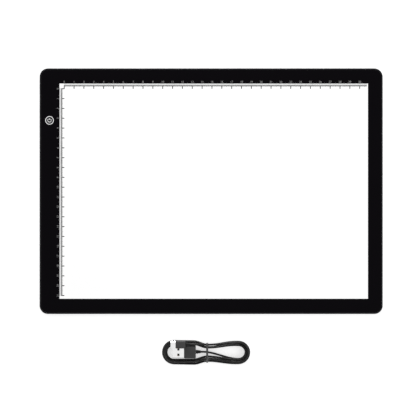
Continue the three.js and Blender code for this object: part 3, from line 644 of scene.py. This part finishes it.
def add_micro_shell(name, node, wall, slanted_up, back_closed):
    """A micro connector's shell, open at its left end."""
    low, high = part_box(node)
    size = high - low
    axis = (low + high) / 2
    lip = wall / 3
    outer = keyed_outline(size.y, size.z, slanted_up)
    edge = keyed_outline(size.y - 2 * lip, size.z - 2 * lip, slanted_up)
    inner = keyed_outline(size.y - 2 * wall, size.z - 2 * wall, slanted_up)
    inner_end = high.x - wall if back_closed else high.x
    loops = [
        placed(outer, high.x, axis), placed(outer, low.x + lip, axis), placed(edge, low.x, axis),
        placed(inner, low.x, axis), placed(inner, inner_end, axis),
    ]
    mesh = skin(name, loops, closed=not back_closed)
    shell = add_mesh(name, mesh, "pad", STEEL, SHELL_SHARP_ANGLE)
    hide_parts(node)
    return shell


def add_grip(name, node, shell_node, pocket, corner, rounding):
    """An overmould with rounded ends and a pocket in its left end, which holds the shell."""
    low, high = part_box(node)
    size = high - low
    axis = (low + high) / 2
    shell_low, shell_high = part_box(shell_node)
    hole = shell_high - shell_low
    mouth = (hole.y + 2 * FINE_GAP, hole.z + 2 * FINE_GAP, corner / 2)
    profile = [(low.x + pocket, *mouth), (low.x, *mouth)]
    arc = [math.pi / 2 * step / GRIP_ROUNDING_STEPS for step in range(GRIP_ROUNDING_STEPS + 1)]
    for end, way in ((low.x, 1), (high.x, -1)):
        for angle in arc if way > 0 else reversed(arc):
            inset = rounding * (1 - math.sin(angle))
            reach = rounding * (1 - math.cos(angle))
            profile.append((end + way * reach, size.y - 2 * inset, size.z - 2 * inset, corner - inset / 2))
    mesh = skin(name, along_x(profile, axis, GRIP_CORNER_SEGMENTS))
    grip = add_mesh(name, mesh, "pad", GRIP, SHELL_SHARP_ANGLE)
    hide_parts(node)
    return grip


def add_relief(name, node):
    """A tapered sleeve with soft ring grooves, closed at both ends."""
    low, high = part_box(node)
    axis = (low + high) / 2
    length = high.x - low.x
    base = (high.z - low.z) / 2
    loops = []
    steps = RELIEF_GROOVE_STEPS * RELIEF_GROOVES
    for step in range(steps + 1):
        share = step / steps
        radius = base + (RELIEF_TIP_DIAMETER / 2 - base) * share
        dip = math.sin(math.pi * share * RELIEF_GROOVES) ** RELIEF_GROOVE_SHARPNESS
        radius -= RELIEF_GROOVE_DEPTH * dip
        around = circle_angles(RELIEF_SEGMENTS)
        outline = [(radius * math.cos(angle), radius * math.sin(angle)) for angle in around]
        loops.append(placed(outline, low.x + length * share, axis))
    relief = add_mesh(name, skin(name, loops), "pad", JACKET)
    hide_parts(node)
    return relief


def add_contacts():
    """The four gilt strips on the USB-A plug's tongue."""
    low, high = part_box("usb_a_tongue")
    middle = (low.y + high.y) / 2
    half = USB_CONTACT_WIDTH / 2
    top = low.z + USB_TONGUE_THICKNESS
    spans = [
        (
            low.x + reach, low.x + USB_CONTACT_END, middle + place - half, middle + place + half,
            top - FINE_GAP, top + FINE_GAP,
        )
        for place, reach in USB_CONTACTS
    ]
    contacts = add_mesh("usb_a_contacts", boxes("usb_a_contacts", spans), "pad", GOLD)
    return contacts


route = lead_points()
lead_pieces = [
    add_tie(route),
    add_usb_shell("usb_a_metal", "usb_a_shell"),
    add_grip(
        "usb_a_grip", "usb_a_overmould", "usb_a_shell",
        USB_GRIP_POCKET, USB_GRIP_CORNER, USB_GRIP_ROUNDING,
    ),
    add_relief("usb_a_sleeve", "usb_a_strain_relief"),
    add_contacts(),
    add_micro_shell("micro_usb_metal", "micro_usb_shell", MICRO_SHELL_WALL, True, False),
    add_grip(
        "micro_usb_grip", "micro_usb_overmould", "micro_usb_shell",
        MICRO_GRIP_POCKET, MICRO_GRIP_CORNER, MICRO_GRIP_ROUNDING,
    ),
    add_relief("micro_usb_sleeve", "micro_usb_strain_relief"),
    nodes["usb_a_tongue"],
    nodes["micro_usb_tongue"],
]
lead = add_lead(route)
add_micro_shell("socket_metal", "socket_shell", SOCKET_WALL, False, True)


# Power button: trim ring and key turned round the button's axis, and the symbol inlaid in the key
def turned(name, profile, node, closed=False):
    """A profile of (radius, height) rows turned round a node's upright middle line."""
    middle = middle_of(node)
    base = Vector((middle.x, middle.y, 0))
    loops = [
        [
            base + Vector((radius * math.cos(angle), radius * math.sin(angle), height))
            for angle in circle_angles(TURNED_SEGMENTS)
        ]
        for radius, height in profile
    ]
    return skin(name, loops, closed)


def add_button():
    low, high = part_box("button_ring")
    lip = (high.x - low.x) / 2
    under = high.z - RING_LIP_HEIGHT
    soft = RING_LIP_HEIGHT / 3
    ring = add_mesh("button_trim", turned("button_trim", [
        (RING_BORE / 2, low.z), (RING_BARREL / 2, low.z), (RING_BARREL / 2, under), (lip, under),
        (lip, high.z - 2 * soft), (lip - soft / 2, high.z - soft / 2), (lip - 2 * soft, high.z),
        (RING_BORE / 2 + 2 * soft, high.z), (RING_BORE / 2 + soft / 2, high.z - soft / 2),
        (RING_BORE / 2, high.z - 2 * soft),
    ], "button_ring", closed=True), "pad", WHITE_WITH_PAINTED_GLOW, TURNED_SHARP_ANGLE)
    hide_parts("button_ring")
    low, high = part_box("button_cap")
    flange = (high.x - low.x) / 2
    key = add_mesh("button_key", turned("button_key", [
        (CAP_DIAMETER / 2 - CAP_WALL, low.z), (flange, low.z), (flange, low.z + FLANGE_THICKNESS),
        (CAP_DIAMETER / 2, low.z + FLANGE_THICKNESS), (CAP_DIAMETER / 2, high.z - 2 * soft),
        (CAP_DIAMETER / 2 - soft, high.z - soft / 2), (CAP_DIAMETER / 2 - 3 * soft, high.z),
        (CAP_DIAMETER / 4, high.z),
    ], "button_cap"), "power_button", KEY, TURNED_SHARP_ANGLE)
    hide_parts("button_cap")
    icon = add_symbol(high.z)
    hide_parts("button_symbol")


def arc_points(centre, radius, start, end, count):
    return [
        Vector((
            centre[0] + radius * math.cos(start + (end - start) * index / count),
            centre[1] + radius * math.sin(start + (end - start) * index / count),
            0,
        ))
        for index in range(count + 1)
    ]


def symbol_outlines():
    """An open ring and a bar in its mouth, both with round ends, round the origin."""
    half = SYMBOL_STROKE / 2
    mouth = math.radians(SYMBOL_MOUTH_DEGREES / 2)
    start, end = math.pi / 2 + mouth, 2.5 * math.pi - mouth
    tips = [
        (SYMBOL_RADIUS * math.cos(angle), SYMBOL_RADIUS * math.sin(angle)) for angle in (start, end)
    ]
    ring = arc_points((0, 0), SYMBOL_RADIUS + half, start, end, SYMBOL_ARC_STEPS)
    ring += arc_points(tips[1], half, end, end + math.pi, SYMBOL_END_STEPS)[1:]
    ring += arc_points((0, 0), SYMBOL_RADIUS - half, end, start, SYMBOL_ARC_STEPS)[1:]
    ring += arc_points(tips[0], half, start + math.pi, start + 2 * math.pi, SYMBOL_END_STEPS)[1:-1]
    bar = arc_points((0, SYMBOL_BAR_HEAD - half), half, 0, math.pi, SYMBOL_END_STEPS)
    bar += arc_points((0, SYMBOL_BAR_FOOT + half), half, math.pi, 2 * math.pi, SYMBOL_END_STEPS)
    return ring, bar


def add_symbol(top):
    """The power symbol, inlaid in the key's top."""
    middle = middle_of("button_cap")
    base = Vector((middle.x, middle.y, top - SYMBOL_DEPTH))
    rise = Vector((0, 0, SYMBOL_DEPTH + SYMBOL_RISE))
    built = bmesh.new()
    for outline in symbol_outlines():
        low = [built.verts.new(point + base) for point in outline]
        high = [built.verts.new(point + base + rise) for point in outline]
        built.faces.new(high)
        built.faces.new(list(reversed(low)))
        for index in range(len(outline)):
            built.faces.new((low[index - 1], low[index], high[index], high[index - 1]))
    return add_mesh("button_icon", mesh_of("button_icon", built), "power_button", LIT)


add_button()


# Rulers: marks printed on the window along its top and left edges, and numbers on the border
def mark_columns(mark, centimetre_length):
    """A mark as strips: start and end from its middle, near and far from the edge."""
    half, wide = MARK_WIDTH / 2, CENTIMETRE_MARK_WIDTH / 2
    if mark % CENTIMETRE_MM:
        far = MARK_LENGTH if mark % HALF_CENTIMETRE_MM else HALF_MARK_LENGTH
        return [(-half, half, FINE_GAP, far)]
    return [
        (-wide, -half, BASE_LINE_INSET, centimetre_length),
        (-half, half, FINE_GAP, centimetre_length),
        (half, wide, BASE_LINE_INSET, centimetre_length),
    ]


def ruler_cells(length_mm, first_length, centimetre_length):
    """A ruler's base line and marks as rectangles: start and end along it, near and far from the edge."""
    line_near, line_far = BASE_LINE_INSET, BASE_LINE_INSET + BASE_LINE_WIDTH
    cells = []
    for mark in range(length_mm + 1):
        columns = mark_columns(mark, centimetre_length if mark else first_length)
        if cells:
            cells.append((cells[-1][1], mark * MM + columns[0][0], line_near, line_far))
        for start, end, near, far in columns:
            depths = sorted({near, line_near, line_far, far})
            for shallow, deep in zip(depths, depths[1:]):
                cells.append((mark * MM + start, mark * MM + end, shallow, deep))
    return cells


def flat_solid(name, cells, bottom, top):
    """One solid of rectangles that meet at shared corners, each as (left, right, front, back)."""
    corners = {}
    quads = []
    for left, right, front, back in cells:
        quad = []
        for x, y in ((left, front), (right, front), (right, back), (left, back)):
            place = (round(x / CORNER_SNAP), round(y / CORNER_SNAP))
            corners.setdefault(place, (len(corners), x, y))
            quad.append(corners[place][0])
        quads.append(quad)
    count = len(corners)
    edges = {edge for quad in quads for edge in zip(quad, quad[1:] + quad[:1])}
    faces = []
    for quad in quads:
        faces.append([corner + count for corner in quad])
        faces.append(quad[::-1])
        for start, end in zip(quad, quad[1:] + quad[:1]):
            if (end, start) not in edges:
                faces.append([start, end, end + count, start + count])
    points = [(x, y, height) for height in (bottom, top) for _, x, y in corners.values()]
    mesh = bpy.data.meshes.new(name)
    mesh.from_pydata(points, [], faces)
    return mesh


def add_rulers():
    across, down = WINDOW_LEFT + TOP_RULER_START, WINDOW_TOP - LEFT_RULER_START
    corner_down = LEFT_RULER_START + CENTIMETRE_MARK_WIDTH / 2
    corner_across = TOP_RULER_START - CENTIMETRE_MARK_WIDTH / 2 - FINE_GAP
    cells = [
        (across + start, across + end, WINDOW_TOP - far, WINDOW_TOP - near)
        for start, end, near, far in ruler_cells(TOP_RULER_MM, corner_down, TOP_CENTIMETRE_MARK_LENGTH)
    ]
    cells += [
        (WINDOW_LEFT + near, WINDOW_LEFT + far, down - end, down - start)
        for start, end, near, far in ruler_cells(LEFT_RULER_MM, corner_across, LEFT_CENTIMETRE_MARK_LENGTH)
    ]
    mesh = flat_solid("ruler_marks", cells, PAD_TOP - PRINT_DEPTH, PAD_TOP + PRINT_RISE)
    add_mesh("ruler_marks", mesh, "pad", INK)


def label_mesh(words):
    """The outline of a number as a thin solid, centred across the origin and standing on it."""
    curve = bpy.data.curves.new("label", "FONT")
    curve.body = words
    curve.size = NUMBER_HEIGHT / FONT_CAP_SHARE
    curve.align_x = "CENTER"
    curve.resolution_u = NUMBER_CURVE_STEPS
    curve.extrude = PRINT_RISE
    label = new_object("label", curve)
    graph = bpy.context.evaluated_depsgraph_get()
    mesh = bpy.data.meshes.new_from_object(label.evaluated_get(graph))
    bpy.data.objects.remove(label)
    return mesh


def number_labels():
    """Each number with its place: upright over the top ruler, and turned along the left one."""
    labels = []
    for centimetre in range(TOP_RULER_MM // CENTIMETRE_MM + 1):
        x = WINDOW_LEFT + TOP_RULER_START + centimetre * CENTIMETRE_MM * MM
        place = Matrix.Translation((x, WINDOW_TOP + NUMBER_OFFSET - NUMBER_HEIGHT / 2, PAD_TOP))
        labels.append((str(centimetre), place))
    for centimetre in range(LEFT_RULER_MM // CENTIMETRE_MM + 1):
        y = WINDOW_TOP - LEFT_RULER_START - centimetre * CENTIMETRE_MM * MM
        place = Matrix.Translation((WINDOW_LEFT - NUMBER_OFFSET + NUMBER_HEIGHT / 2, y, PAD_TOP))
        labels.append((str(centimetre), place @ Matrix.Rotation(math.pi / 2, 4, "Z")))
    return labels


def add_numbers():
    built = bmesh.new()
    for words, place in number_labels():
        mesh = label_mesh(words)
        mesh.transform(place)
        built.from_mesh(mesh)
        bpy.data.meshes.remove(mesh)
    bmesh.ops.remove_doubles(built, verts=built.verts, dist=NUMBER_SNAP)
    numbers = add_mesh("ruler_numbers", mesh_of("ruler_numbers", built), "pad", NUMBER)


add_rulers()
add_numbers()


# Studio: a white floor and world for the eye and for gloss, with plain light on the object
def seen_rays(tree):
    """1 for rays from the camera, from gloss and through glass, and 0 for the rest."""
    light_path = tree.nodes.new("ShaderNodeLightPath")
    seen = light_path.outputs["Is Camera Ray"]
    for kind in ("Is Glossy Ray", "Is Transmission Ray"):
        either = tree.nodes.new("ShaderNodeMath")
        either.operation = "MAXIMUM"
        tree.links.new(seen, either.inputs[0])
        tree.links.new(light_path.outputs[kind], either.inputs[1])
        seen = either.outputs[0]
    return seen


def add_world():
    world = bpy.data.worlds.new("studio")
    bpy.context.scene.world = world
    world.use_nodes = True
    tree = world.node_tree
    soft = tree.nodes["Background"]
    soft.inputs["Color"].default_value = PURE_WHITE
    soft.inputs["Strength"].default_value = SOFT_WORLD_STRENGTH
    white = tree.nodes.new("ShaderNodeBackground")
    white.inputs["Color"].default_value = PURE_WHITE
    white.inputs["Strength"].default_value = 1
    choice = tree.nodes.new("ShaderNodeMixShader")
    tree.links.new(seen_rays(tree), choice.inputs["Fac"])
    tree.links.new(soft.outputs[0], choice.inputs[1])
    tree.links.new(white.outputs[0], choice.inputs[2])
    tree.links.new(choice.outputs[0], tree.nodes["World Output"].inputs["Surface"])


def floor_material():
    """Plain white that takes a shadow, and glows for the rays that see it."""
    material = bpy.data.materials.new("floor")
    material.use_nodes = True
    tree = material.node_tree
    tree.nodes.remove(tree.nodes["Principled BSDF"])
    diffuse = tree.nodes.new("ShaderNodeBsdfDiffuse")
    diffuse.inputs["Color"].default_value = (*same(FLOOR_LEVEL), 1)
    glow = tree.nodes.new("ShaderNodeEmission")
    glow.inputs["Color"].default_value = PURE_WHITE
    strength = tree.nodes.new("ShaderNodeMath")
    strength.operation = "MULTIPLY"
    strength.inputs[1].default_value = FLOOR_GLOW
    tree.links.new(seen_rays(tree), strength.inputs[0])
    tree.links.new(strength.outputs[0], glow.inputs["Strength"])
    both = tree.nodes.new("ShaderNodeAddShader")
    tree.links.new(diffuse.outputs[0], both.inputs[0])
    tree.links.new(glow.outputs[0], both.inputs[1])
    tree.links.new(both.outputs[0], tree.nodes["Material Output"].inputs["Surface"])
    return material


def add_floor():
    mesh = bpy.data.meshes.new("floor")
    sides = ((-1, -1), (1, -1), (1, 1), (-1, 1))
    mesh.from_pydata([(x * FLOOR_REACH, y * FLOOR_REACH, 0) for x, y in sides], [], [(0, 1, 2, 3)])
    floor = new_object("floor", mesh)
    mesh.materials.append(floor_material())


def add_lamp(name, place, size, power):
    lamp = new_object(name, bpy.data.lights.new(name, "AREA"))
    lamp.data.shape = "RECTANGLE"
    lamp.data.size, lamp.data.size_y = size
    lamp.data.energy = power
    lamp.location = place
    lamp.rotation_euler = (-Vector(place)).to_track_quat("-Z", "Y").to_euler()


add_world()
add_floor()
for lamp_row in LAMPS:
    add_lamp(*lamp_row)

bpy.context.scene.view_settings.view_transform = "Standard"
